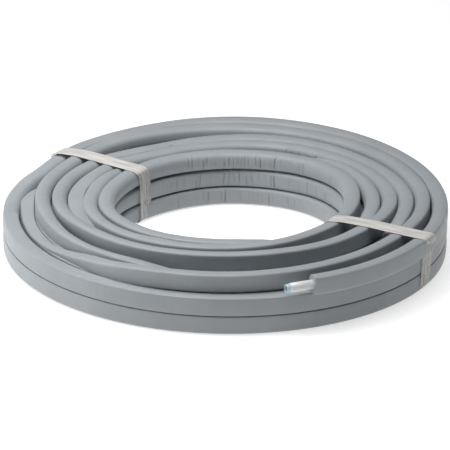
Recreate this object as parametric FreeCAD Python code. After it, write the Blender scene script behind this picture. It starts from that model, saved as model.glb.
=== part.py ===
import FreeCAD, Part
import math
import os

# Coil of insulated multilayer pipe, lying flat on the floor. Millimetres, +Z up.
# Origin: on the floor, at the centre of the outer turns.
# Angles are seen from above, counter-clockwise from +X. The loose end is at the front, towards -Y.

V = FreeCAD.Vector
UP = V(0, 0, 1)

# Driving dimensions: the pipe and its insulation
pipe_diameter = 20.0
pipe_wall = 2.5
insulation_wall = 10.0
turn_width = 34.0            # the foam sleeve squeezed between its neighbours
corner_radius = 7.0          # rounded corner of a squeezed sleeve
seam_floor = 2.0             # flat bottom of the seam between two turns

# Driving dimensions: the winding
coil_radius = 475.0
lower_layers = 2             # full layers under the top one
turns_per_layer = 7
bore_shift = (12.0, -11.0)   # the hole is strapped a little off centre
top_turn_gaps = [13.0, 33.0, 3.0, 13.0]                  # slack between the top turns, from the outside
top_turn_shifts = [(9.0, -14.0), (8.0, 2.0), (9.0, 3.0), (11.0, -8.0)]

# Driving dimensions: the loose end of the outermost top turn
loose_end_angle = 294.0
spring_start_angle = 0.0
spring_out = 17.0            # how far the loose end has sprung outwards
ramp_top_angle = 200.0       # the outermost turn starts down to the layer below
ramp_foot_angle = 250.0
pipe_stub = 50.0             # bare pipe out of the insulation
pipe_seat = 60.0             # bare pipe inside the insulation
pipe_clearance = 0.1

# Driving dimensions: the film straps
strap_width = 38.0
strap_film = 0.5
strap_clearance = 0.05
strap_angles = {"strap_back_left": 147.0, "strap_front_right": 332.0}

# Worked out
turn_height = pipe_diameter + 2 * insulation_wall
base_height = lower_layers * turn_height
coil_height = base_height + turn_height
bore_radius = coil_radius - turns_per_layer * turn_width
margin = 5.0                 # how far cutters pass the surfaces they cut


def face_of(points):
    """Face in the XZ plane from points; three points in a tuple are an arc."""
    edges = []
    last = points[0]
    for step in points[1:]:
        if isinstance(step, tuple):
            edges.append(Part.Arc(last, step[0], step[1]).toShape())
            last = step[1]
        else:
            edges.append(Part.makeLine(last, step))
            last = step
    edges.append(Part.makeLine(last, points[0]))
    return Part.Face(Part.Wire(edges))


def turned(section, centre, start=0.0, sweep=360.0):
    """Turn an XZ section about the upright axis through centre."""
    section = section.copy()
    section.rotate(V(0, 0, 0), UP, start)
    section.translate(V(centre[0], centre[1], 0))
    return section.revolve(V(centre[0], centre[1], 0), UP, sweep)


def seam(foot, out, across):
    """Seam between two rounded turns. foot lies on the surface; out points away from the solid."""
    half = seam_floor / 2
    r = corner_radius
    left = foot - across * (half + r)
    right = foot + across * (half + r)
    left_floor = foot - across * half - out * r
    right_floor = foot + across * half - out * r
    bend = r * math.sqrt(0.5)
    left_mid = left - out * r + across * bend + out * bend
    right_mid = right - out * r - across * bend + out * bend
    return face_of([left, (left_mid, left_floor), right_floor, (right_mid, right),
                    right + out * margin, left + out * margin])


def edge_rounding(corner, out_a, out_b):
    """What a rounded corner leaves off a square one. out_a and out_b point away from the solid."""
    r = corner_radius
    on_a = corner - out_a * r
    on_b = corner - out_b * r
    middle = corner - (out_a + out_b) * r * (1 - math.sqrt(0.5))
    return face_of([on_a, (middle, on_b), on_b + out_a * margin,
                    corner + (out_a + out_b) * margin, on_a + out_b * margin])


def turn_section(outer_radius, round_foot=True):
    """Section of one top turn, rounded at its corners, let into the layer below."""
    r = corner_radius
    outer = outer_radius
    inner = outer_radius - turn_width
    low = base_height + seam_floor / 2
    high = coil_height
    foot = base_height - seam_floor / 2
    inset = r + seam_floor / 2
    bend = r * (1 - math.sqrt(0.5))
    top = [V(outer, 0, high - r),
           (V(outer - bend, 0, high - bend), V(outer - r, 0, high)),
           V(inner + r, 0, high),
           (V(inner + bend, 0, high - bend), V(inner, 0, high - r))]
    if not round_foot:
        return face_of([V(outer, 0, foot)] + top + [V(inner, 0, foot)])
    return face_of([V(outer - inset, 0, foot), V(outer - inset, 0, low), V(outer - r, 0, low),
                    (V(outer - bend, 0, low + bend), V(outer, 0, low + r))]
                   + top
                   + [V(inner, 0, low + r), (V(inner + bend, 0, low + bend), V(inner + r, 0, low)),
                      V(inner + inset, 0, low), V(inner + inset, 0, foot)])


# The loose end runs on a larger circle that leaves the outermost turn smoothly.
spring_turn = math.radians(spring_start_angle - loose_end_angle)
spring_offset = spring_out / (1 - math.cos(spring_turn))
spring_radius = coil_radius + spring_offset
spring_centre = (-spring_offset * math.cos(math.radians(spring_start_angle)),
                 -spring_offset * math.sin(math.radians(spring_start_angle)))


def lower_turns():
    """The full layers: one turned solid with its bore, the turns showing as seams."""
    outward = V(1, 0, 0)
    inward = V(-1, 0, 0)
    down = V(0, 0, -1)
    body = Part.makeCylinder(coil_radius, base_height)
    bore_axis = V(bore_shift[0], bore_shift[1], -margin)
    cutters = [Part.makeCylinder(bore_radius, base_height + 2 * margin, bore_axis)]
    for layer in range(1, lower_layers):
        height = layer * turn_height
        cutters.append(turned(seam(V(coil_radius, 0, height), outward, UP), (0, 0)))
        cutters.append(turned(seam(V(bore_radius, 0, height), inward, UP), bore_shift))
    for height, out in ((0, down), (base_height, UP)):
        cutters.append(turned(edge_rounding(V(coil_radius, 0, height), outward, out), (0, 0)))
        cutters.append(turned(edge_rounding(V(bore_radius, 0, height), inward, out), bore_shift))
    for turn in range(1, turns_per_layer):
        share = turn / turns_per_layer
        centre = (share * bore_shift[0], share * bore_shift[1])
        cutters.append(turned(seam(V(coil_radius - turn * turn_width, 0, 0), down, outward), centre))
    for cutter in cutters:
        body = body.cut(cutter)
    return body


def ramp_cutter():
    """Box above the sloping top of the outermost turn, where it goes down to the layer below."""
    middle = math.radians((ramp_top_angle + ramp_foot_angle) / 2)
    half_angle = math.radians((ramp_foot_angle - ramp_top_angle) / 2)
    mid_radius = coil_radius - turn_width / 2
    half_run = mid_radius * math.sin(half_angle)
    drop = turn_height + seam_floor
    slope = math.degrees(math.atan2(drop, 2 * half_run))
    near = (coil_radius - turn_width) * math.cos(half_angle) - margin
    far = coil_radius + margin
    box = Part.makeBox(far - near, 3 * half_run, 2 * turn_height, V(near, -1.5 * half_run, 0))
    box.rotate(V(0, 0, 0), V(1, 0, 0), -slope)
    box.translate(V(0, 0, coil_height - drop / 2))
    box.rotate(V(0, 0, 0), UP, math.degrees(middle))
    return box


def pipe_frame():
    """Mouth of the insulation on the pipe's axis, and the direction out of it."""
    angle = math.radians(loose_end_angle)
    mid_radius = spring_radius - turn_width / 2
    mouth = V(spring_centre[0] + mid_radius * math.cos(angle),
              spring_centre[1] + mid_radius * math.sin(angle),
              base_height + turn_height / 2)
    return mouth, V(math.sin(angle), -math.cos(angle), 0)


def pipe_hole():
    """The hole that the pipe leaves in the insulation."""
    mouth, out = pipe_frame()
    tail = mouth - out * pipe_seat
    return Part.makeCylinder(pipe_diameter / 2 + pipe_clearance, pipe_seat + margin, tail, out)


def top_turns():
    """The top layer: turns lying a little off centre, each on its own axis."""
    turns = []
    outer = coil_radius
    for gap, shift in zip(top_turn_gaps, top_turn_shifts):
        outer -= turn_width + gap
        turns.append(turned(turn_section(outer), shift))
    turns.append(turned(turn_section(coil_radius), (0, 0), spring_start_angle,
                        ramp_top_angle - spring_start_angle))
    ramp = turned(turn_section(coil_radius, False), (0, 0), ramp_top_angle,
                  ramp_foot_angle - ramp_top_angle)
    turns.append(ramp.cut(ramp_cutter()))
    start = loose_end_angle - 360.0
    # Both circles touch where the loose end leaves the outermost turn, so the join is smooth.
    loose_end = turned(turn_section(spring_radius), spring_centre, start, spring_start_angle - start)
    turns.append(loose_end.cut(pipe_hole()))
    return turns


def pipe_end():
    """The bare end of the pipe, seated in the insulation."""
    mouth, out = pipe_frame()
    length = pipe_seat + pipe_stub
    tail = mouth - out * pipe_seat
    outside = Part.makeCylinder(pipe_diameter / 2, length, tail, out)
    inside = Part.makeCylinder(pipe_diameter / 2 - pipe_wall, length, tail, out)
    return outside.cut(inside)


def reach(radius, centre, angle):
    """Distance from the origin, along angle, to a circle about centre."""
    along = centre[0] * math.cos(angle) + centre[1] * math.sin(angle)
    beside = centre[1] * math.cos(angle) - centre[0] * math.sin(angle)
    return along + math.sqrt(radius ** 2 - beside ** 2)


def strap_outline(degrees, inset):
    """Loop round the section of the coil at one angle, in the XZ plane, inset into the coil."""
    angle = math.radians(degrees)
    c = corner_radius
    low_in = reach(bore_radius, bore_shift, angle)
    top_inner_radius = coil_radius - (len(top_turn_gaps) + 1) * turn_width - sum(top_turn_gaps)
    top_in = reach(top_inner_radius, top_turn_shifts[-1], angle)
    top_out = coil_radius
    if degrees > loose_end_angle:
        top_out = reach(spring_radius, spring_centre, angle)
    points = [V(low_in, 0, c), V(low_in + c, 0, 0), V(coil_radius - c, 0, 0), V(coil_radius, 0, c),
              V(top_out, 0, coil_height - c), V(top_out - c, 0, coil_height),
              V(top_in + c, 0, coil_height), V(top_in, 0, coil_height - c),
              V(low_in, 0, base_height - c)]
    outline = Part.makePolygon(points + points[:1])
    if inset:
        outline = outline.makeOffset2D(-inset, 2)
    return outline


def upright_slab(face, degrees, width):
    """Extrude an XZ face to a slab centred on the upright plane at one angle."""
    face = face.copy()
    face.translate(V(0, -width / 2, 0))
    slab = face.extrude(V(0, width, 0))
    slab.rotate(V(0, 0, 0), UP, degrees)
    return slab


def strap(degrees):
    """Film strap: a thin closed band pulled round the bundle, straight across the gaps."""
    band = Part.Face(strap_outline(degrees, 0.0)).cut(Part.Face(strap_outline(degrees, strap_film)))
    return upright_slab(band, degrees, strap_width)


def strap_pocket(degrees):
    """All that lies outside the strap's inner face, over the strap's width."""
    near = bore_radius / 2
    far = spring_radius + 2 * margin
    frame = Part.makePolygon([V(near, 0, -margin), V(far, 0, -margin),
                              V(far, 0, coil_height + margin), V(near, 0, coil_height + margin),
                              V(near, 0, -margin)])
    inner = Part.Face(strap_outline(degrees, strap_film + strap_clearance))
    width = strap_width + 2 * strap_clearance
    return upright_slab(Part.Face(frame).cut(inner), degrees, width)


def insulated_coil():
    """The insulated pipe as wound: lower layers, top turns, pipe hole and strap pockets."""
    body = lower_turns()
    for turn in top_turns():
        body = body.fuse(turn)
    body = body.removeSplitter()
    for degrees in strap_angles.values():
        body = body.cut(strap_pocket(degrees))
    return body


def single_solid(shape):
    """The one solid in a shape."""
    shape = shape.removeSplitter()
    solid, = shape.Solids
    return solid


os.makedirs("parts", exist_ok=True)
nodes = {"insulated_coil": insulated_coil(), "pipe_end": pipe_end()}
for name, degrees in strap_angles.items():
    nodes[name] = strap(degrees)
for name, shape in nodes.items():
    solid = single_solid(shape)
    solid.exportStep("parts/" + name + ".step")
    print(name, round(solid.Volume), solid.isValid())
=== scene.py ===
import math

import bpy
import numpy as np
from mathutils import Matrix, Vector


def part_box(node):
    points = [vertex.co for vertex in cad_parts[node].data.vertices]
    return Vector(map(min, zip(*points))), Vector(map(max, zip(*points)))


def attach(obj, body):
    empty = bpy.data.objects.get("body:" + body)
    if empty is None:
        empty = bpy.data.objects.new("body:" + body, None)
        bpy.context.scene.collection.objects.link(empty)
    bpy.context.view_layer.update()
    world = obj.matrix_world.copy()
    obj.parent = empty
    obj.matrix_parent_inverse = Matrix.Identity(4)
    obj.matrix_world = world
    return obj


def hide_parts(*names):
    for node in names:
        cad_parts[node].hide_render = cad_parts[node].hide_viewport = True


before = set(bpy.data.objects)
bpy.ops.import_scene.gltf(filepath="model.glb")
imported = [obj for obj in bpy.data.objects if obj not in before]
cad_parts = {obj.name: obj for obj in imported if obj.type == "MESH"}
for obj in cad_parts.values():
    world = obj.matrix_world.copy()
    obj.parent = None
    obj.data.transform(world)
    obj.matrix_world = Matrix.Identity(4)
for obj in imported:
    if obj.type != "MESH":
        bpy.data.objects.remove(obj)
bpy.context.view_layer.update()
print("frame loaded:", sorted(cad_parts))

# The coil's own measures come from the frame: outer radius, and the height of one turn.
coilLow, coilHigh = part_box("insulated_coil")
coilRadius = (coilHigh.x - coilLow.x) / 2
turnHeight = (coilHigh.z - coilLow.z) / 3
pipeRadius = (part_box("pipe_end")[1].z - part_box("pipe_end")[0].z) / 2


# Smooth curve through stations: a cubic between each two, with the slope at a station
# taken from its two neighbours.
def smoothThrough(stations, at):
    table = np.asarray(stations, float)
    x, y = table[:, 0], table[:, 1]
    at = np.clip(at, x[0], x[-1])
    slope = np.gradient(y, x)
    i = np.clip(np.searchsorted(x, at, side="right") - 1, 0, len(x) - 2)
    span = x[i + 1] - x[i]
    t = (at - x[i]) / span
    return ((2 * t**3 - 3 * t**2 + 1) * y[i] + (t**3 - 2 * t**2 + t) * span * slope[i]
            + (3 * t**2 - 2 * t**3) * y[i + 1] + (t**3 - t**2) * span * slope[i + 1])


# Soft step from 0 to 1 between two values: 3t^2 - 2t^3.
def softStep(value, start, end):
    t = np.clip((value - start) / (end - start), 0, 1)
    return t * t * (3 - 2 * t)


# Mesh from a grid of points: rows run along the piece, columns round it. Capped ends are flat and
# take the piece's second material.
def gridMesh(name, grid, closedRound=True, closedAlong=False, caps=False, uv=None):
    rows, columns = grid.shape[:2]
    rowCount = rows if closedAlong else rows - 1
    columnCount = columns if closedRound else columns - 1
    r, c = np.meshgrid(np.arange(rowCount), np.arange(columnCount), indexing="ij")
    r, c = r.ravel(), c.ravel()
    nextRow, nextColumn = (r + 1) % rows, (c + 1) % columns
    faces = np.stack([r * columns + c, r * columns + nextColumn,
                      nextRow * columns + nextColumn, nextRow * columns + c], 1)
    faceList = faces.tolist()
    if caps:
        faceList.append(list(range(columns))[::-1])
        faceList.append(list(range((rows - 1) * columns, rows * columns)))
    mesh = bpy.data.meshes.new(name)
    mesh.from_pydata(grid.reshape(-1, 3).tolist(), [], faceList)
    if uv is not None:
        corners = np.stack([np.stack([r, c], 1), np.stack([r, c + 1], 1),
                            np.stack([r + 1, c + 1], 1), np.stack([r + 1, c], 1)], 1).reshape(-1, 2)
        along, around = uv
        flat = np.zeros((len(mesh.loops), 2), np.float32)
        flat[:len(corners), 0] = along[corners[:, 0]]
        flat[:len(corners), 1] = around[corners[:, 1]]
        mesh.uv_layers.new(name="lengthAndGirth").data.foreach_set("uv", flat.ravel())
    smooth = np.ones(len(mesh.polygons), bool)
    cut = np.zeros(len(mesh.polygons), np.int32)
    if caps:
        smooth[-2:], cut[-2:] = False, 1
    mesh.polygons.foreach_set("use_smooth", smooth)
    mesh.polygons.foreach_set("material_index", cut)
    mesh.update()
    return mesh


# Puts a mesh in the scene as a piece that rides on the coil.
def addPiece(name, mesh, material, slotName, *stoodFor):
    piece = bpy.data.objects.new(name, mesh)
    bpy.context.scene.collection.objects.link(piece)
    mesh.materials.append(material)
    if material == foam:
        mesh.materials.append(cutFoam)
    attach(piece, "root")
    if stoodFor:
        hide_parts(*stoodFor)
    return piece


# Joins several meshes into one.
def joined(name, meshes):
    points, faces, uvs = [], [], []
    first = 0
    for mesh in meshes:
        co = np.zeros(len(mesh.vertices) * 3)
        mesh.vertices.foreach_get("co", co)
        uv = np.zeros(len(mesh.loops) * 2)
        mesh.uv_layers[0].data.foreach_get("uv", uv)
        points.append(co.reshape(-1, 3))
        uvs.append(uv)
        faces += [[first + i for i in face.vertices] for face in mesh.polygons]
        first += len(mesh.vertices)
    whole = bpy.data.meshes.new(name)
    whole.from_pydata(np.concatenate(points).tolist(), [], faces)
    whole.uv_layers.new(name="lengthAndGirth").data.foreach_set("uv", np.concatenate(uvs))
    whole.polygons.foreach_set("use_smooth", np.ones(len(whole.polygons), bool))
    whole.update()
    for mesh in meshes:
        bpy.data.meshes.remove(mesh)
    return whole


# A short hand for building a material's nodes.
class NodeSheet:
    def __init__(self, name):
        self.material = bpy.data.materials.new(name)
        self.material.use_nodes = True
        self.tree = self.material.node_tree
        self.shader = self.tree.nodes["Principled BSDF"]

    def add(self, kind, inputs=None, **settings):
        node = self.tree.nodes.new(kind)
        for key, value in settings.items():
            setattr(node, key, value)
        for key, value in (inputs or {}).items():
            if isinstance(value, bpy.types.NodeSocket):
                self.tree.links.new(value, node.inputs[key])
            else:
                node.inputs[key].default_value = value
        return node

    def shade(self, **inputs):
        for key, value in inputs.items():
            key = key.replace("_", " ")
            if isinstance(value, bpy.types.NodeSocket):
                self.tree.links.new(value, self.shader.inputs[key])
            else:
                self.shader.inputs[key].default_value = value

    def noise(self, vector, scale, detail=3.0, rough=0.5):
        return self.add("ShaderNodeTexNoise", {"Vector": vector, "Scale": scale, "Detail": detail,
                                               "Roughness": rough}).outputs["Fac"]

    def stretched(self, vector, scale):
        return self.add("ShaderNodeMapping", {"Vector": vector, "Scale": scale}).outputs["Vector"]

    def ramp(self, value, low, high, start=0.0, end=1.0):
        node = self.add("ShaderNodeMapRange", {"Value": value, "From Min": low, "From Max": high,
                                               "To Min": start, "To Max": end})
        return node.outputs["Result"]

    def mix(self, share, first, second):
        node = self.add("ShaderNodeMix", data_type="RGBA")
        for place, value in ((0, share), (6, first), (7, second)):
            socket = node.inputs[place]
            if isinstance(value, bpy.types.NodeSocket):
                self.tree.links.new(value, socket)
            else:
                socket.default_value = value
        return node.outputs[2]

    def bump(self, height, distance, strength=1.0, under=None):
        inputs = {"Height": height, "Distance": distance, "Strength": strength}
        if under is not None:
            inputs["Normal"] = under
        return self.add("ShaderNodeBump", inputs).outputs["Normal"]


foamLook = {
    "skin": (0.282, 0.304, 0.322, 1),
    "skinPale": (0.306, 0.329, 0.348, 1),
    "skinDull": (0.26, 0.282, 0.3, 1),
    "skinStreak": (0.34, 0.362, 0.38, 1),
    # painted shade for the creases of the folds
    "foldPaintedShade": (0.1, 0.11, 0.12, 1),
    "cellScale": 900.0,          # closed cells just under the skin
    "cellDepth": 0.00012,
    "cloudScale": 9.0,
    "patchScale": 45.0,
    "streakScale": (1.2, 260.0, 1.0),
    "streakDepth": 0.0002,
    "wrinkleScale": (110.0, 9.0, 1.0),
    "wrinkleDepth": 0.0006,
    "roughness": 0.5,
    "specular": 0.42,
    "sheen": 0.12,
}


# Extruded foam sleeve: a thin smooth skin over fine cells, faint streaks along its length,
# and shallow wrinkles across it, with painted shade darkening the creases of its folds.
def makeFoam(name, look):
    sheet = NodeSheet(name)
    place = sheet.add("ShaderNodeTexCoord").outputs["Object"]
    along = sheet.add("ShaderNodeUVMap", uv_map="lengthAndGirth").outputs["UV"]
    cloud = sheet.noise(place, look["cloudScale"], 4.0)
    patches = sheet.noise(place, look["patchScale"], 3.0)
    streaks = sheet.noise(sheet.stretched(along, look["streakScale"]), 1.0, 2.0)
    wrinkles = sheet.noise(sheet.stretched(along, look["wrinkleScale"]), 1.0, 2.0)
    cells = sheet.add("ShaderNodeTexVoronoi", {"Vector": place, "Scale": look["cellScale"]},
                      feature="SMOOTH_F1").outputs["Distance"]
    tone = sheet.mix(sheet.ramp(cloud, 0.35, 0.65), look["skin"], look["skinPale"])
    tone = sheet.mix(sheet.ramp(patches, 0.55, 0.75, 0.0, 0.25), tone, look["skinDull"])
    tone = sheet.mix(sheet.ramp(streaks, 0.45, 0.8, 0.0, 0.22), tone, look["skinStreak"])
    # Painted shade: the folds' depth darkens the skin's colour, as the shadow that gathers in the
    # creases.
    fold = sheet.add("ShaderNodeAttribute", attribute_name="paintedFoldShade").outputs["Fac"]
    tone = sheet.mix(sheet.ramp(fold, 0.1, 1.0, 0.0, 0.62), tone, look["foldPaintedShade"])
    normal = sheet.bump(sheet.ramp(wrinkles, 0.5, 0.8), look["wrinkleDepth"], 0.5)
    normal = sheet.bump(streaks, look["streakDepth"], 0.6, normal)
    normal = sheet.bump(cells, look["cellDepth"], 0.5, normal)
    rough = look["roughness"]
    sheet.shade(Base_Color=tone, Normal=normal,
                Roughness=sheet.ramp(patches, 0.3, 0.7, rough - 0.05, rough + 0.08))
    sheet.shader.inputs["Specular IOR Level"].default_value = look["specular"]
    sheet.shader.inputs["Sheen Weight"].default_value = look["sheen"]
    sheet.shader.inputs["Sheen Roughness"].default_value = 0.5
    return sheet.material


cutFoamLook = {
    "cellDark": (0.26, 0.275, 0.29, 1),
    "cellPale": (0.42, 0.435, 0.45, 1),
    "cellScale": 1100.0,
    "cellDepth": 0.0006,
    "tearScale": 300.0,
    "tearDepth": 0.001,
    "roughness": 0.85,
}


# Cut foam: open cells, paler and matt.
def makeCutFoam(name, look):
    sheet = NodeSheet(name)
    place = sheet.add("ShaderNodeTexCoord").outputs["Object"]
    cells = sheet.add("ShaderNodeTexVoronoi", {"Vector": place, "Scale": look["cellScale"]})
    cells = cells.outputs["Distance"]
    tears = sheet.noise(place, look["tearScale"], 4.0)
    tone = sheet.mix(sheet.ramp(cells, 0.0, 0.6), look["cellDark"], look["cellPale"])
    torn = sheet.bump(tears, look["tearDepth"], 0.6)
    normal = sheet.bump(cells, look["cellDepth"], 0.8, torn)
    sheet.shade(Base_Color=tone, Normal=normal, Roughness=look["roughness"])
    return sheet.material


pipeColours = {
    "outer": (0.68, 0.69, 0.695, 1),
    "inner": (0.46, 0.6, 0.67, 1),
    "aluminiumDark": (0.55, 0.57, 0.59, 1),
    "aluminiumPale": (0.8, 0.82, 0.84, 1),
}


# White polyethylene of the pipe's outside and inside, with fine drawing lines.
def makePipeSkin(name, colour, roughness):
    sheet = NodeSheet(name)
    along = sheet.add("ShaderNodeUVMap", uv_map="lengthAndGirth").outputs["UV"]
    place = sheet.add("ShaderNodeTexCoord").outputs["Object"]
    lines = sheet.noise(sheet.stretched(along, (6.0, 900.0, 1.0)), 1.0, 2.0)
    smudge = sheet.noise(place, 90.0, 3.0)
    darker = tuple(0.88 * part for part in colour[:3]) + (1,)
    tone = sheet.mix(sheet.ramp(smudge, 0.5, 0.8, 0.0, 0.6), colour, darker)
    sheet.shade(Base_Color=tone, Normal=sheet.bump(lines, 0.00006, 0.5),
                Roughness=sheet.ramp(lines, 0.3, 0.7, roughness - 0.04, roughness + 0.06))
    return sheet.material


# Cut edge of the aluminium layer.
def makeAluminium(name, colours):
    sheet = NodeSheet(name)
    place = sheet.add("ShaderNodeTexCoord").outputs["Object"]
    scratches = sheet.noise(sheet.stretched(place, (900.0, 900.0, 4000.0)), 1.0, 2.0)
    tone = sheet.mix(scratches, colours["aluminiumDark"], colours["aluminiumPale"])
    sheet.shade(Base_Color=tone, Metallic=1.0,
                Roughness=sheet.ramp(scratches, 0.3, 0.7, 0.25, 0.4))
    return sheet.material


filmLook = {
    "milk": (0.74, 0.72, 0.69, 1),
    "milkDull": (0.63, 0.615, 0.585, 1),
    "cover": 0.72,               # how much the film hides of what lies below it
    "foldCover": 0.97,
    "thinCover": 0.3,            # the same where it hangs drawn thin between two corners
    "thinFoldCover": 0.6,
}


# Milky film, clearer where it is single and denser along its folds.
def makeFilm(name, look):
    sheet = NodeSheet(name)
    along = sheet.add("ShaderNodeUVMap", uv_map="lengthAndGirth").outputs["UV"]
    folds = sheet.noise(sheet.stretched(along, (14.0, 170.0, 1.0)), 1.0, 3.0)
    fine = sheet.noise(sheet.stretched(along, (40.0, 600.0, 1.0)), 1.0, 2.0)
    tone = sheet.mix(sheet.ramp(folds, 0.4, 0.7), look["milkDull"], look["milk"])
    normal = sheet.bump(fine, 0.0003, 0.6, sheet.bump(folds, 0.0014, 0.8))
    drawn = sheet.add("ShaderNodeAttribute", attribute_name="drawnThin").outputs["Fac"]
    cover = sheet.ramp(folds, 0.35, 0.68, look["cover"], look["foldCover"])
    clear = sheet.ramp(folds, 0.42, 0.75, look["thinCover"], look["thinFoldCover"])
    alpha = sheet.add("ShaderNodeMix", {0: drawn, 2: cover, 3: clear}).outputs[0]
    sheet.shade(Base_Color=tone, Normal=normal, Roughness=0.32, Alpha=alpha)
    sheet.shader.inputs["Specular IOR Level"].default_value = 0.6
    return sheet.material


foam = makeFoam("foamSkin", foamLook)
cutFoam = makeCutFoam("foamCutFace", cutFoamLook)
film = makeFilm("strapFilm", filmLook)
pipeWhite = makePipeSkin("pipeOuterWhite", pipeColours["outer"], 0.3)
pipeInner = makePipeSkin("pipeInnerBlueWhite", pipeColours["inner"], 0.35)
aluminium = makeAluminium("pipeAluminiumLayer", pipeColours)
print("materials made")


# Each run of the top layer, in degrees seen from above (counter-clockwise from +X, counted on
# past 360) and in shares of the coil's radius. "lift" is the height of the run's middle in turns.
outerRun = {
    "radius": [(292, 1.0), (305, 0.997), (320, 0.99), (335, 0.982), (350, 0.969), (365, 0.955),
               (385, 0.947), (420, 0.944), (440, 0.936), (460, 0.912), (475, 0.888), (490, 0.876),
               (505, 0.878), (513, 0.885), (520, 0.9), (526, 0.93), (533, 0.954), (545, 0.9645)],
    "width": [(292, 0.0716), (400, 0.0735), (425, 0.0785), (450, 0.08), (470, 0.072), (485, 0.067),
              (505, 0.068), (525, 0.0716), (545, 0.0716)],
    "lift": [(292, 2.5), (500, 2.5), (508, 2.43), (515, 2.26), (523, 2.06), (533, 1.74),
             (545, 1.5)],
}
secondRun = {
    "radius": [(192, 0.887), (205, 0.886), (212, 0.884), (220, 0.881), (229, 0.887), (238, 0.903),
               (247, 0.911), (256, 0.913), (272, 0.909), (285, 0.898), (305, 0.884), (325, 0.874),
               (337, 0.877), (348, 0.884), (360, 0.884), (380, 0.872), (400, 0.868), (420, 0.859),
               (440, 0.845), (460, 0.828), (480, 0.818), (495, 0.809), (510, 0.796), (520, 0.799),
               (530, 0.81), (541, 0.82), (549, 0.82), (561, 0.82), (572, 0.82), (580, 0.818),
               (589, 0.82), (598, 0.824), (606, 0.826), (620, 0.826), (645, 0.826)],
    "width": [(192, 0.057), (205, 0.06), (215, 0.065), (232, 0.071), (245, 0.0716), (400, 0.0735),
              (425, 0.0785), (450, 0.08), (470, 0.072), (482, 0.067), (505, 0.067), (530, 0.066),
              (552, 0.066), (561, 0.064), (572, 0.059), (589, 0.056), (600, 0.064), (610, 0.068),
              (645, 0.06)],
    "lift": [(192, 1.46), (203, 1.52), (212, 1.62), (220, 1.78), (228, 2.0), (238, 2.27),
             (247, 2.44), (256, 2.5), (535, 2.5), (546, 2.46), (556, 2.36), (566, 2.26), (576, 2.2),
             (586, 2.2), (594, 2.24), (602, 2.25), (608, 2.17), (616, 1.98), (626, 1.75),
             (636, 1.56), (645, 1.5)],
}
thirdRun = {
    "radius": [(318, 0.79), (330, 0.797), (340, 0.806), (350, 0.813), (360, 0.809), (370, 0.796),
               (380, 0.782), (400, 0.759), (420, 0.744), (435, 0.722), (450, 0.687), (465, 0.659),
               (479, 0.642), (492, 0.658), (504, 0.69), (516, 0.71), (530, 0.73), (545, 0.747),
               (557, 0.748), (575, 0.729), (595, 0.717), (615, 0.701), (632, 0.691), (650, 0.692),
               (665, 0.703), (690, 0.714), (702, 0.73), (715, 0.738), (725, 0.733), (740, 0.716),
               (760, 0.69), (780, 0.668), (797, 0.638), (812, 0.61), (828, 0.587), (840, 0.574),
               (852, 0.586), (865, 0.611), (880, 0.627), (890, 0.643), (902, 0.665), (912, 0.679),
               (922, 0.688), (940, 0.69), (955, 0.69)],
    "width": [(318, 0.06), (350, 0.07), (420, 0.0716), (450, 0.076), (479, 0.069), (500, 0.068),
              (530, 0.066), (600, 0.0665), (660, 0.0716), (780, 0.0716), (810, 0.074), (838, 0.069),
              (860, 0.068), (890, 0.0716), (955, 0.0716)],
    "lift": [(318, 1.5), (325, 1.6), (337, 2.15), (349, 2.47), (358, 2.5), (914, 2.5), (926, 2.34),
             (940, 1.85), (952, 1.55), (955, 1.52)],
}
fourthRun = {
    "radius": [(312, 0.66), (325, 0.665), (337, 0.669), (350, 0.664), (362, 0.655), (382, 0.644),
               (391, 0.641), (401, 0.624), (409, 0.605), (417, 0.592), (430, 0.575), (445, 0.56)],
    "width": [(312, 0.06), (345, 0.07), (372, 0.067), (391, 0.062), (401, 0.057), (409, 0.053),
              (445, 0.052)],
    "lift": [(312, 1.5), (319, 1.6), (330, 2.15), (341, 2.47), (350, 2.5), (396, 2.5), (405, 2.42),
             (416, 2.12), (428, 1.72), (440, 1.52), (445, 1.5)],
}
innerRun = {
    "radius": [(486, 0.547), (498, 0.551), (510, 0.556), (520, 0.565), (530, 0.577), (540, 0.591),
               (555, 0.621), (567, 0.635), (580, 0.64), (595, 0.637), (610, 0.625), (625, 0.612),
               (640, 0.602), (655, 0.59), (670, 0.577), (690, 0.572), (710, 0.57), (722, 0.572),
               (733, 0.578), (743, 0.582), (754, 0.577), (763, 0.566), (772, 0.552), (786, 0.527),
               (798, 0.509), (810, 0.498), (825, 0.488), (840, 0.485), (855, 0.489), (868, 0.493),
               (880, 0.498), (890, 0.508), (900, 0.524), (910, 0.54), (922, 0.554), (940, 0.561),
               (960, 0.56), (980, 0.555), (995, 0.555), (1012, 0.562), (1030, 0.572),
               (1045, 0.578)],
    "width": [(486, 0.04), (500, 0.045), (510, 0.05), (520, 0.058), (530, 0.066), (545, 0.0665),
              (600, 0.0665), (625, 0.07), (700, 0.0716), (780, 0.0716), (810, 0.075), (840, 0.072),
              (870, 0.07), (900, 0.0716), (1045, 0.0716)],
    "lift": [(486, 1.5), (493, 1.7), (502, 2.2), (510, 2.42), (520, 2.5), (996, 2.5), (1010, 2.36),
             (1024, 1.9), (1036, 1.58), (1045, 1.5)],
}
topRuns = (outerRun, secondRun, thirdRun, fourthRun, innerRun)

# The inner wall of the two full layers, round once: degrees and share of the coil's radius.
lowerInner = {
    1: [(0, 0.532), (27, 0.517), (50, 0.499), (70, 0.474), (90, 0.455), (110, 0.438), (125, 0.433),
        (140, 0.438), (160, 0.467), (180, 0.487), (225, 0.51), (270, 0.517), (315, 0.527), (360, 0.532)],
    2: [(0, 0.545), (20, 0.541), (40, 0.529), (60, 0.498), (80, 0.473), (90, 0.466), (110, 0.45),
        (130, 0.444), (150, 0.457), (165, 0.48), (180, 0.495), (225, 0.515), (270, 0.522),
        (315, 0.538), (360, 0.545)],
}
turnsPerLayer = 7
jogStart, jogEnd = 145.0, 185.0      # where a turn of a full layer steps in beside the one before

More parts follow.
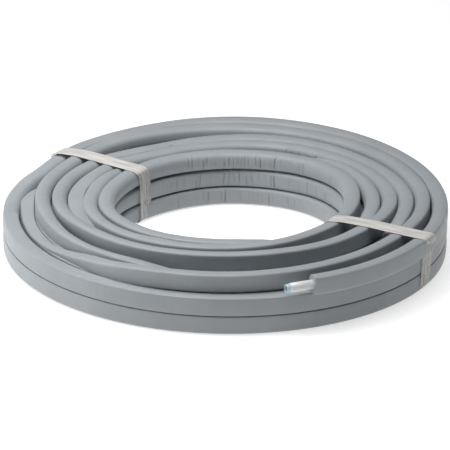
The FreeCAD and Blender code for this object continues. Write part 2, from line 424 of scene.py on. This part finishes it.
# Folds pressed across the inner wall where the sleeve is bent tightest: degrees along the run and
# depth in millimetres. "fine" is a stretch of smaller ones: from, to, how many, and how deep.
foldSets = {
    "outer": {"strong": [(403, 1.0), (406, 1.4), (411, 1.1), (417, 1.0)], "fine": (400, 425, 14, 0.6)},
    "second": {"strong": [(402, 0.8), (407, 1.2), (410, 0.9), (418, 1.0)], "fine": (398, 424, 16, 0.6)},
    "third": {"strong": [(405, 1.3), (408, 1.0), (411, 1.2), (414, 1.5), (419, 1.2), (422, 2.0),
                         (424, 1.6), (767, 1.3), (770, 1.6), (774, 1.4), (778, 1.8), (781, 2.2),
                         (783.5, 1.8)],
              "fine": (762, 800, 40, 1.0)},
    "inner": {"strong": [(748, 0.9), (767.5, 1.6), (769.5, 1.3), (783, 2.3), (785, 1.0), (790.5, 2.8),
                         (793, 1.5), (797, 1.1), (799, 1.4), (801, 1.2), (803, 1.6), (805.5, 1.4),
                         (808, 2.2), (810.5, 1.5), (821, 1.9), (823, 2.0), (830, 1.9), (832.5, 1.5)],
              "fine": (764, 842, 80, 0.9)},
    "middle": {"strong": [(31, 1.1), (38, 1.2), (44, 1.3), (63, 2.5), (64.5, 1.8), (75, 1.5), (78, 1.4),
                          (82, 1.7), (85, 1.5), (88, 1.7), (91, 1.5), (105, 2.1), (107.5, 1.6),
                          (120, 1.6), (124, 1.2)],
               "fine": (28, 130, 90, 0.9)},
    "bottom": {"strong": [(50, 1.4), (54, 1.5), (65, 1.9), (90, 2.4), (92, 1.5), (100, 2.0), (103, 1.4),
                          (120, 1.6)],
               "fine": (40, 128, 70, 0.8)},
}


# Depth of the folds at an angle and a height on the wall: the deepest of many narrow bells,
# each leaning a little, and each fading towards the corners of the turn.
def foldDepth(degrees, up, folds, seedNumber):
    dice = np.random.default_rng(seedNumber)
    first, last, count, deepest = folds["fine"]
    fine = zip(dice.uniform(first, last, count), dice.uniform(0.15, 1.0, count) ** 1.5 * deepest)
    depth = np.zeros(np.broadcast(degrees, up).shape)
    for middle, deep in list(folds["strong"]) + list(fine):
        lean = dice.uniform(-0.6, 0.6)
        spread = 0.24 * dice.uniform(0.8, 1.6)
        centre, reach = dice.uniform(-0.4, 0.4), dice.uniform(0.45, 1.15)
        away = (degrees - middle - lean * up) / spread
        fade = np.exp(-((up - centre) / reach) ** 4)
        depth = np.maximum(depth, deep * 0.001 * np.exp(-away**2) * fade)
    return depth


# Section of a squeezed sleeve, one row a point: its side (-1 inner, 1 outer), its share of the
# height, and the direction of its corner. Starts low on the inner wall and goes over the top.
def sleeveSection(wallPoints, topPoints, cornerPoints):
    parts = []
    wall = np.linspace(-1, 1, wallPoints)
    flat = np.linspace(-1, 1, topPoints)
    bend = np.linspace(0, math.pi / 2, cornerPoints + 2)[1:-1]
    for side, across, quarter in ((wall, False, (-1, 1)), (flat, True, (1, 1)),
                                  (-wall, False, (1, -1)), (-flat, True, (-1, -1))):
        for s in side:
            if across:
                parts.append((s, quarter[1], 0, quarter[1], 1))
            else:
                parts.append((quarter[0], s, quarter[0], 0, 0))
        for b in bend:
            cx, cz = (math.sin(b), math.cos(b)) if across else (math.cos(b), math.sin(b))
            parts.append((quarter[0], quarter[1], quarter[0] * cx, quarter[1] * cz, 2))
    return np.array(parts)


sleeveLook = {
    "pressedCorner": 0.0022,     # where two turns press on each other
    "freeInner": 0.0145,         # a free inner side, slack from bending, rounds out
    "freeOuter": 0.005,          # a free outer side is stretched and stays sharper
    "topCrown": 0.0009,
    "wallCrown": 0.0006,
    "seamGap": 0.0007,
    "wobble": 0.0008,
    "ringInner": 0.009,          # inner side of the innermost turn of a full layer
    "floorCorner": 0.006,        # outer corner on the floor
    "cutTrim": 0.0035,           # what the knife takes off at the cut end
}

# Where the outermost run has come down, it and the turn beside it stand a little apart. The laps
# are given in degrees past the end of the jog: where the slack is widest, and how far it spreads.
slackLook = {
    "firstLap": (20, 35),
    "secondLap": (375, 32),
    "shift": 0.0025,
    "narrower": 0.007,
    "rounder": 0.003,
    "shoulder": 70,
}


# Carries the sleeve's section along a run. A corner point is the run's middle plus the half width
# and half height less the corner's radius, plus that radius in the corner's direction; a point on
# a side lies between its two corners, plus the side's bulge. Folds push the inner wall outwards.
def sleeveAlong(name, degrees, radius, width, middle, section, corners, folds=None, closed=False):
    angle = np.radians(degrees)
    topInner, topOuter, lowOuter, lowInner = [np.broadcast_to(c, degrees.shape)[:, None] for c in corners]
    wide = (width / 2)[:, None]
    high = turnHeight / 2 - sleeveLook["seamGap"]
    sx, sz, cx, cz, kind = section.T[:, None, :]
    upper = np.where(sx < 0, topInner, topOuter)
    lower = np.where(sx < 0, lowInner, lowOuter)
    corner = np.where(sz < 0, lower, upper)
    inner = np.where(sz < 0, lowInner, topInner)
    outer = np.where(sz < 0, lowOuter, topOuter)
    share = (sz + 1) / 2
    wallUp = -(high - lower) * (1 - share) + (high - upper) * share
    share = (sx + 1) / 2
    flatAcross = -(wide - inner) * (1 - share) + (wide - outer) * share
    onWall, onFlat = kind == 0, kind == 1
    across = np.where(onWall, sx * wide + sleeveLook["wallCrown"] * (1 - sz**2) * cx,
                      np.where(onFlat, flatAcross, sx * (wide - corner) + corner * cx))
    up = np.where(onWall, wallUp,
                  np.where(onFlat, sz * high + sleeveLook["topCrown"] * (1 - sx**2) * cz,
                           sz * (high - corner) + corner * cz))
    shade = None
    if folds is not None:
        onInnerWall = np.clip(-cx, 0, 1) ** 1.5
        depth = onInnerWall * foldDepth(degrees[:, None], up / high, foldSets[folds], len(name))
        across = across + depth
        # The fold depth is also kept as painted shade, which darkens the foam in the creases.
        shade = np.clip(depth / 0.002, 0, 1)
    outward = radius[:, None] + across
    grid = np.stack([outward * np.cos(angle)[:, None], outward * np.sin(angle)[:, None],
                     middle[:, None] + up], 2)
    arc = np.concatenate([[0], np.cumsum(np.diff(angle) * (radius[1:] + radius[:-1]) / 2)])
    if closed:
        arc = np.append(arc, arc[-1] + (arc[-1] - arc[-2]))
    sizes = np.diff(grid[len(grid) // 2], axis=0, append=grid[len(grid) // 2][:1])
    girth = np.concatenate([[0], np.cumsum(np.linalg.norm(sizes, axis=1))])
    mesh = gridMesh(name, grid, closedAlong=closed, caps=not closed, uv=(arc, girth))
    if shade is not None:
        mesh.attributes.new("paintedFoldShade", "FLOAT", "POINT").data.foreach_set("value", shade.ravel())
    return mesh


# Slow unevenness along a run: three sine waves whose wavelengths don't fit the round.
def wobble(degrees, phase):
    a = np.radians(degrees)
    wave = (np.sin(2.3 * a + phase) + 0.6 * np.sin(5.1 * a + 2 * phase)
            + 0.4 * np.sin(9.7 * a + 3 * phase))
    return sleeveLook["wobble"] * wave / 2


# Angles along a run, closer together where its inner wall is folded.
def runAngles(first, last, step, denseParts=(), dense=0.3):
    stops = np.unique(np.clip([first, last] + [d for part in denseParts for d in part], first, last))
    pieces = []
    for low, high in zip(stops[:-1], stops[1:]):
        middle = (low + high) / 2
        fine = any(part[0] < middle < part[1] for part in denseParts)
        count = max(2, int(round((high - low) / (dense if fine else step))) + 1)
        pieces.append(np.linspace(low, high, count)[:-1])
    return np.append(np.concatenate(pieces), last)


# Where a set of folds starts and ends, with a little room.
def foldStretch(folds):
    fold = foldSets[folds]
    at = [middle for middle, deep in fold["strong"]] + list(fold["fine"][:2])
    return min(at) - 1.5, max(at) + 1.5


# Room beside a run: the smallest distance from its side to the facing side of any other lap of
# the top layer at the same height. side is -1 for the inner, 1 for the outer.
def roomBeside(run, degrees, side):
    middle = smoothThrough(run["radius"], degrees)
    mine = middle + side * smoothThrough(run["width"], degrees) / 2
    lift = smoothThrough(run["lift"], degrees)
    room = np.full(len(degrees), 0.2)
    for other in topRuns:
        for lap in range(-3, 4):
            at = degrees + 360 * lap
            theirs = smoothThrough(other["radius"], at)
            near = (at >= other["radius"][0][0]) & (at <= other["radius"][-1][0])
            near &= side * (theirs - middle) > 0.005
            near &= np.abs(smoothThrough(other["lift"], at) - lift) < 0.3
            gap = side * (theirs - mine) - smoothThrough(other["width"], at) / 2
            room = np.where(near, np.minimum(room, gap), room)
    return room * coilRadius


# Corner radii of a run: small where a neighbour presses, larger where the side is free.
def runCorners(run, degrees):
    look = sleeveLook
    corners = []
    for side, free in ((-1, look["freeInner"]), (1, look["freeOuter"])):
        freedom = softStep(roomBeside(run, degrees, side), 0.0, 0.005)
        blur = np.ones(9) / 9
        freedom = np.convolve(np.pad(freedom, 4, mode="edge"), blur, mode="valid")
        corners.append(look["pressedCorner"] + (free - look["pressedCorner"]) * freedom)
    return corners[0], corners[1], corners[1], corners[0]


fineSection = sleeveSection(8, 4, 4)
plainSection = sleeveSection(4, 3, 2)


# One run of the top layer from its stations.
def topRun(name, run, phase, folds=None, step=1.2):
    first, last = run["radius"][0][0], run["radius"][-1][0]
    degrees = runAngles(first, last, step, [foldStretch(folds)] if folds else [])
    radius = smoothThrough(run["radius"], degrees) * coilRadius + wobble(degrees, phase)
    width = smoothThrough(run["width"], degrees) * coilRadius
    middle = np.minimum(smoothThrough(run["lift"], degrees), 2.5) * turnHeight
    return sleeveAlong(name, degrees, radius, width, middle, fineSection, runCorners(run, degrees), folds)


# Middle radius and width of a turn in a full layer. turn counts inwards from 0, and may lie
# between two turns where the run steps in.
def layerTurn(degrees, turn, layer):
    inner = smoothThrough(lowerInner[layer], np.mod(degrees, 360)) * coilRadius
    pitch = (coilRadius - inner) / turnsPerLayer
    radius = coilRadius - pitch * (turn + 0.5)
    return radius, np.minimum(pitch - 0.0006, 0.078 * coilRadius)


# A closed turn of a full layer.
def ringTurn(name, layer, turn, corners, folds=None):
    degrees = runAngles(0.0, 360.0, 1.2, [foldStretch(folds)] if folds else [])[:-1]
    radius, width = layerTurn(degrees, turn, layer)
    middle = np.full(len(degrees), (layer - 0.5) * turnHeight)
    section = fineSection if folds else plainSection
    return sleeveAlong(name, degrees, radius, width, middle, section, corners, folds, closed=True)


# The wound turns of a full layer: the turn count grows by one over the jog of each round.
def woundTurns(layer, firstTurn, lastTurn, step=2.0):
    rounds = lastTurn - firstTurn + 1
    degrees = runAngles(jogEnd, jogEnd + 360.0 * rounds - 1.0, step)
    turn = firstTurn + sum(softStep(degrees, jogStart + 360 * k, jogEnd + 360 * k)
                           for k in range(1, rounds))
    radius, width = layerTurn(degrees, turn, layer)
    return degrees, radius, width, np.full(len(degrees), (layer - 0.5) * turnHeight)


# The outermost top run goes down over the outside and carries on as the middle layer.
# Its cut end is drawn in a little at the outer side, as a knife leaves it.
def outerAndMiddle(name):
    top = runAngles(292.0, 545.0, 1.2, [foldStretch("outer"), (292.0, 296.0)])
    radius = smoothThrough(outerRun["radius"], top) * coilRadius
    width = smoothThrough(outerRun["width"], top) * coilRadius
    trim = sleeveLook["cutTrim"] * (1 - softStep(top, 292.0, 294.6))
    middle = np.minimum(smoothThrough(outerRun["lift"], top), 2.5) * turnHeight
    corners = runCorners(outerRun, top)
    degrees, woundRadius, woundWidth, woundMiddle = woundTurns(2, 0, turnsPerLayer - 2)
    slack = slackLook
    firstLap, secondLap = [np.exp(-((degrees - jogEnd - at) / spread) ** 2)
                           for at, spread in (slack["firstLap"], slack["secondLap"])]
    woundRadius = woundRadius - slack["shift"] * secondLap
    woundWidth = woundWidth - slack["narrower"] * secondLap
    flat = np.full(len(degrees), sleeveLook["pressedCorner"])
    shoulder = 1 - softStep(degrees, jogEnd, jogEnd + slack["shoulder"])
    topInner = flat + slack["rounder"] * firstLap
    topOuter = flat + slack["rounder"] * shoulder + slack["rounder"] * secondLap
    parts = [np.concatenate([run[:-1], wound])
             for run, wound in zip(corners, (topInner, topOuter, flat, flat))]
    return sleeveAlong(name, np.concatenate([top[:-1], degrees + 360.0]),
                       np.concatenate([(radius - trim / 2)[:-1], woundRadius]),
                       np.concatenate([(width - trim)[:-1], woundWidth]),
                       np.concatenate([middle[:-1], woundMiddle]), fineSection, parts, "outer")


pressed = sleeveLook["pressedCorner"]
innerRing = (sleeveLook["ringInner"], pressed, pressed, sleeveLook["ringInner"])
seenTurns = [
    ("outer_run_and_middle_layer", outerAndMiddle("outerRunAndMiddleLayer")),
    ("second_top_run", topRun("secondTopRun", secondRun, 1.3, "second")),
    ("third_top_run", topRun("thirdTopRun", thirdRun, 2.1, "third")),
    ("fourth_top_run", topRun("fourthTopRun", fourthRun, 0.4)),
    ("inner_top_run", topRun("innerTopRun", innerRun, 0.9, "inner")),
    ("middle_layer_inner_turn",
     ringTurn("middleInnerTurn", 2, turnsPerLayer - 1, innerRing, "middle")),
    ("bottom_layer_inner_turn",
     ringTurn("bottomInnerTurn", 1, turnsPerLayer - 1, innerRing, "bottom")),
]
for pieceName, turnMesh in seenTurns:
    addPiece(pieceName, turnMesh, foam, "foam_insulation", "insulated_coil")


# The bottom layer but its innermost turn: a closed turn outside, and the wound ones.
def bottomLayer():
    degrees, radius, width, middle = woundTurns(1, 1, turnsPerLayer - 2)
    corners = (pressed, pressed, pressed, pressed)
    wound = sleeveAlong("bottomWound", degrees, radius, width, middle, plainSection, corners)
    outer = ringTurn("bottomOuterTurn", 1, 0, (pressed, pressed, sleeveLook["floorCorner"], pressed))
    return joined("bottomLayer", [outer, wound])


addPiece("bottom_layer", bottomLayer(), foam, "foam_insulation", "insulated_coil")
print("turns laid")


pipeLook = {
    "wall": 0.0025,
    "outerLayer": 0.0009,
    "aluminiumLayer": 0.0004,
    "stub": 0.050,               # bare pipe out of the foam
    "hidden": 0.03,              # and what goes on inside it
    "bareTip": 0.0085,           # how far the inner layer stands out
    "tipRound": 0.0007,
}


# Solid of revolution about the pipe's axis: each ring is the profile's distance from the axis
# turned round it, at the profile's place along the axis.
def turnedAbout(name, start, out, profile, count=48):
    out = Vector(out).normalized()
    side = Vector((0, 0, 1)).cross(out).normalized()
    rise = out.cross(side)
    profile = np.asarray(profile, float)
    turn = np.linspace(0, 2 * math.pi, count, endpoint=False)
    ring = (np.cos(turn)[:, None] * np.array(side) + np.sin(turn)[:, None] * np.array(rise))
    grid = (np.array(start) + profile[:, 0, None, None] * np.array(out)
            + profile[:, 1, None, None] * ring[None])
    length = np.concatenate([[0], np.cumsum(np.linalg.norm(np.diff(profile, axis=0), axis=1))])
    length = np.append(length, length[-1])
    girth = np.linspace(0, 2 * math.pi * profile[:, 1].max(), count + 1)
    return gridMesh(name, grid, closedAlong=True, uv=(length, girth))


# The pipe's axis from its box: a level cylinder of length l and radius r has a box of
# l cos + 2 r sin by l sin + 2 r cos.
pipeLow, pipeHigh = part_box("pipe_end")
lean = math.atan2(pipeHigh.y - pipeLow.y, pipeHigh.x - pipeLow.x)
for _ in range(20):
    lean = math.atan2(pipeHigh.y - pipeLow.y - 2 * pipeRadius * math.cos(lean),
                      pipeHigh.x - pipeLow.x - 2 * pipeRadius * math.sin(lean))
pipeLength = (pipeHigh.x - pipeLow.x - 2 * pipeRadius * math.sin(lean)) / math.cos(lean)
outDirection = Vector((-math.cos(lean), -math.sin(lean), 0))
pipeTip = (pipeLow + pipeHigh) / 2 + outDirection * pipeLength / 2
mouth = pipeTip - outDirection * pipeLook["stub"]


# Three layers seen at the cut: white outside, thin aluminium, and the tinted inner layer, which
# stands a little further out than the other two.
def layeredPipe():
    look = pipeLook
    back, front = -look["hidden"], look["stub"]
    step = front - look["bareTip"]
    r = pipeRadius
    alu = r - look["outerLayer"]
    core = alu - look["aluminiumLayer"]
    bore = r - look["wall"]
    soft = look["tipRound"]
    outer = [(back, alu), (back, r), (step - 0.0004, r), (step, r - 0.0004), (step, alu)]
    middle = [(back, core), (back, alu), (step + 0.0007, alu), (step + 0.0007, core)]
    inner = [(back, bore), (back, core), (front - soft, core), (front - 0.3 * soft, core - 0.3 * soft),
             (front, core - soft), (front, bore + 0.0002), (front - 0.0004, bore)]
    return (turnedAbout("pipeOuterLayer", mouth, outDirection, outer),
            turnedAbout("pipeAluminium", mouth, outDirection, middle),
            turnedAbout("pipeInnerLayer", mouth, outDirection, inner))


outerLayer, aluminiumRing, innerLayer = layeredPipe()
addPiece("pipe_outer_layer", outerLayer, pipeWhite, "multilayer_pipe", "pipe_end")
addPiece("pipe_aluminium_layer", aluminiumRing, aluminium, "multilayer_pipe", "pipe_end")
addPiece("pipe_inner_layer", innerLayer, pipeInner, "multilayer_pipe", "pipe_end")
print("pipe end made")


strapLook = {
    "width": 0.040,
    "thickness": 0.0003,
    "off": 0.0004,               # how far it stands off the foam
    "ripple": 0.0008,
    "edge": 0.0012,              # waviness of its two edges
    "rows": 260,
    "columns": 25,
    "lowest": 0.0001,
}


# Film strap: a flat band along a loop of points in an upright plane, widened sideways,
# with lengthwise ripples.
def strapBand(name, loop, plane, sideways, phase):
    look = strapLook
    loop = np.array(loop, float)
    loop[:, 0] *= coilRadius
    closedLoop = np.vstack([loop, loop[:1]])
    steps = np.linalg.norm(np.diff(closedLoop[:, :2], axis=0), axis=1)
    length = np.concatenate([[0], np.cumsum(steps)])
    at = np.linspace(0, length[-1], look["rows"], endpoint=False)
    outward = np.interp(at, length, closedLoop[:, 0])
    up = np.interp(at, length, closedLoop[:, 1])
    slide = np.interp(at, length, closedLoop[:, 2])
    narrow = np.interp(at, length, closedLoop[:, 3])
    for _ in range(2):
        outward = (np.roll(outward, 1) + 2 * outward + np.roll(outward, -1)) / 4
        up = (np.roll(up, 1) + 2 * up + np.roll(up, -1)) / 4
    dx = np.roll(outward, -1) - np.roll(outward, 1)
    dz = np.roll(up, -1) - np.roll(up, 1)
    size = np.hypot(dx, dz)
    normalX, normalZ = dz / size, -dx / size
    share = np.linspace(-0.5, 0.5, look["columns"])
    s, a = share[None, :], at[:, None]
    waves = (0.5 * np.sin(31 * s + 9 * a + phase)
             + 0.3 * np.sin(57 * s - 14 * a + 2 * phase)
             + 0.2 * np.sin(93 * s + 23 * a))
    ripple = np.abs(look["ripple"] * waves) + look["off"]
    edge = look["edge"] * np.sin(17 * a + phase) * np.sign(s)
    side = (slide[:, None] + s * look["width"] * narrow[:, None] + edge * np.abs(2 * s) ** 3)
    out = outward[:, None] + ripple * normalX[:, None]
    high = up[:, None] + ripple * normalZ[:, None]
    high = np.maximum(high, look["lowest"])
    along, beside = np.array(plane), np.array(sideways)
    grid = out[:, :, None] * along + side[:, :, None] * beside
    grid[:, :, 2] = high
    mesh = gridMesh(name, grid, closedRound=False, closedAlong=True,
                    uv=(np.append(at, length[-1]), (share + 0.5) * look["width"]))
    thin = np.repeat(softStep(np.abs(normalX), 0.6, 0.97), look["columns"])
    mesh.attributes.new("drawnThin", "FLOAT", "POINT").data.foreach_set("value", thin)
    return mesh


# The loop of a strap: over the top from the outside in, down the inner wall, back under.
def strapPiece(nodeName, name, degrees, loop, phase):
    a = math.radians(degrees)
    mesh = strapBand(name, loop, (math.cos(a), math.sin(a), 0), (-math.sin(a), math.cos(a), 0), phase)
    piece = addPiece(nodeName + "_film", mesh, film, "strap_film", nodeName)
    skin = piece.modifiers.new("filmThickness", "SOLIDIFY")
    skin.thickness = strapLook["thickness"]
    skin.offset = 0
    return piece


topHeight = 3 * turnHeight
# Each point: distance out in shares of the coil's radius, height, slide along the turns, width share.
backLeftLoop = [
    (0.921, topHeight - 0.008, 0.007, 1.0), (0.909, topHeight + 0.0004, 0.006, 1.0),
    (0.87, topHeight + 0.0008, 0.0, 1.0), (0.81, topHeight + 0.0008, -0.006, 1.0),
    (0.70, topHeight + 0.0008, -0.006, 1.05), (0.55, topHeight + 0.0008, -0.003, 1.05),
    (0.478, topHeight + 0.0004, -0.003, 1.1), (0.458, topHeight - 0.004, -0.004, 1.1),
    (0.452, topHeight - 0.012, -0.007, 1.1), (0.449, 2 * turnHeight, -0.009, 1.08),
    (0.446, turnHeight, -0.009, 1.08), (0.442, 0.008, -0.009, 1.05),
    (0.46, 0.0, -0.009, 1.0), (0.985, 0.0, 0.01, 1.0),
    (1.0, 0.008, 0.01, 1.0), (1.001, 2 * turnHeight - 0.005, 0.01, 1.0),
    (0.985, 2 * turnHeight + 0.0008, 0.01, 1.0), (0.924, 2 * turnHeight + 0.0008, 0.008, 1.0),
]
frontRightLoop = [
    (1.024, topHeight - 0.006, 0.015, 1.0), (1.012, topHeight + 0.0004, 0.012, 1.0),
    (0.88, topHeight + 0.0008, 0.009, 1.05), (0.75, topHeight + 0.0008, 0.008, 1.05),
    (0.62, topHeight + 0.0008, 0.002, 1.05), (0.556, topHeight + 0.0004, -0.010, 1.0),
    (0.538, topHeight - 0.008, -0.018, 1.0), (0.534, turnHeight, -0.02, 1.0),
    (0.53, 0.008, -0.022, 1.0), (0.55, 0.0, -0.02, 1.0), (0.985, 0.0, 0.005, 1.0),
    (1.001, 0.008, 0.014, 1.08), (1.004, 2 * turnHeight - 0.004, 0.019, 1.12),
]
strapPiece("strap_back_left", "strapBackLeft", 147.5, backLeftLoop, 0.4)
strapPiece("strap_front_right", "strapFrontRight", 329.5, frontRightLoop, 1.9)
print("straps laid")


stageLook = {
    "floor": (0.6, 0.6, 0.6, 1),
    "floorGlow": 0.56,
    "floorSize": 30.0,
    "floorDrop": 0.0002,
    "world": 0.04,
    "topFrom": (-0.05, -0.02, 1.0),
    "topPower": 1.75,
    "topSpread": 40.0,
    "overheadAt": (-0.5, -0.1, 1.6),
    "overheadAim": (-0.3, -0.2, 0.1),
    "overheadSize": (0.8, 0.8),
    "overheadPower": 18.0,
    "keyAt": (-1.8, -0.5, 0.55),
    "keyAim": (-0.3, 0.0, 0.05),
    "keySize": (0.9, 1.1),
    "keyPower": 12.5,
}


# Plain white floor, just under the coil, that glows a little so that it stays white.
def makeFloor():
    size, drop = stageLook["floorSize"], -stageLook["floorDrop"]
    mesh = bpy.data.meshes.new("floor")
    corners = [(-size, -size, drop), (size, -size, drop), (size, size, drop), (-size, size, drop)]
    mesh.from_pydata(corners, [], [(0, 1, 2, 3)])
    floor = bpy.data.objects.new("floor", mesh)
    bpy.context.scene.collection.objects.link(floor)
    paint = NodeSheet("floorPaint")
    paint.shade(Base_Color=stageLook["floor"], Roughness=0.9, Emission_Color=(1, 1, 1, 1),
                Emission_Strength=stageLook["floorGlow"])
    mesh.materials.append(paint.material)
    return floor


# A rectangular studio lamp that faces a point.
def addLamp(name, place, target, size, power):
    light = bpy.data.lights.new(name, "AREA")
    light.shape = "RECTANGLE"
    light.size, light.size_y = size
    light.energy = power
    lamp = bpy.data.objects.new(name, light)
    bpy.context.scene.collection.objects.link(lamp)
    lamp.location = place
    lamp.rotation_euler = (Vector(target) - Vector(place)).to_track_quat("-Z", "Y").to_euler()
    return lamp


# Even soft light from one direction, like a large diffuser overhead.
def addSky(name, direction, power, spread):
    light = bpy.data.lights.new(name, "SUN")
    light.energy = power
    light.angle = math.radians(spread)
    lamp = bpy.data.objects.new(name, light)
    bpy.context.scene.collection.objects.link(lamp)
    lamp.location = Vector(direction) * 4
    lamp.rotation_euler = Vector(direction).to_track_quat("Z", "Y").to_euler()
    return lamp


# A little white light from all round.
def makeWorld():
    world = bpy.data.worlds.new("studio")
    world.use_nodes = True
    world.node_tree.nodes["Background"].inputs["Color"].default_value = (1, 1, 1, 1)
    world.node_tree.nodes["Background"].inputs["Strength"].default_value = stageLook["world"]
    bpy.context.scene.world = world


cameraLook = {
    "elevation": 22.95,
    "distance": 15.0,            # in coil radii, as the aim's height is
    "lens": 265.2,
    "aimHeight": 0.0903,
    "roll": 0.76,
}


# The camera stands in front, towards -Y, a little above the coil.
def makeCamera():
    look = cameraLook
    tilt = math.radians(look["elevation"])
    place = Vector((0, -math.cos(tilt), math.sin(tilt))) * look["distance"] * coilRadius
    aim = Vector((0, 0, look["aimHeight"] * coilRadius))
    data = bpy.data.cameras.new("camera")
    data.lens = look["lens"]
    data.sensor_width = 36.0
    data.clip_start, data.clip_end = 0.1, 100.0
    camera = bpy.data.objects.new("camera", data)
    bpy.context.scene.collection.objects.link(camera)
    turn = (aim - place).to_track_quat("-Z", "Y").to_matrix().to_4x4()
    roll = Matrix.Rotation(math.radians(look["roll"]), 4, "Z")
    camera.matrix_world = Matrix.Translation(place) @ turn @ roll
    bpy.context.scene.camera = camera


makeFloor()
makeWorld()
addSky("topLight", stageLook["topFrom"], stageLook["topPower"], stageLook["topSpread"])
for lampName in ("overhead", "key"):
    addLamp(lampName + "Light", stageLook[lampName + "At"], stageLook[lampName + "Aim"],
            stageLook[lampName + "Size"], stageLook[lampName + "Power"])
makeCamera()
bpy.context.scene.view_settings.view_transform = "Standard"
print("stage set")
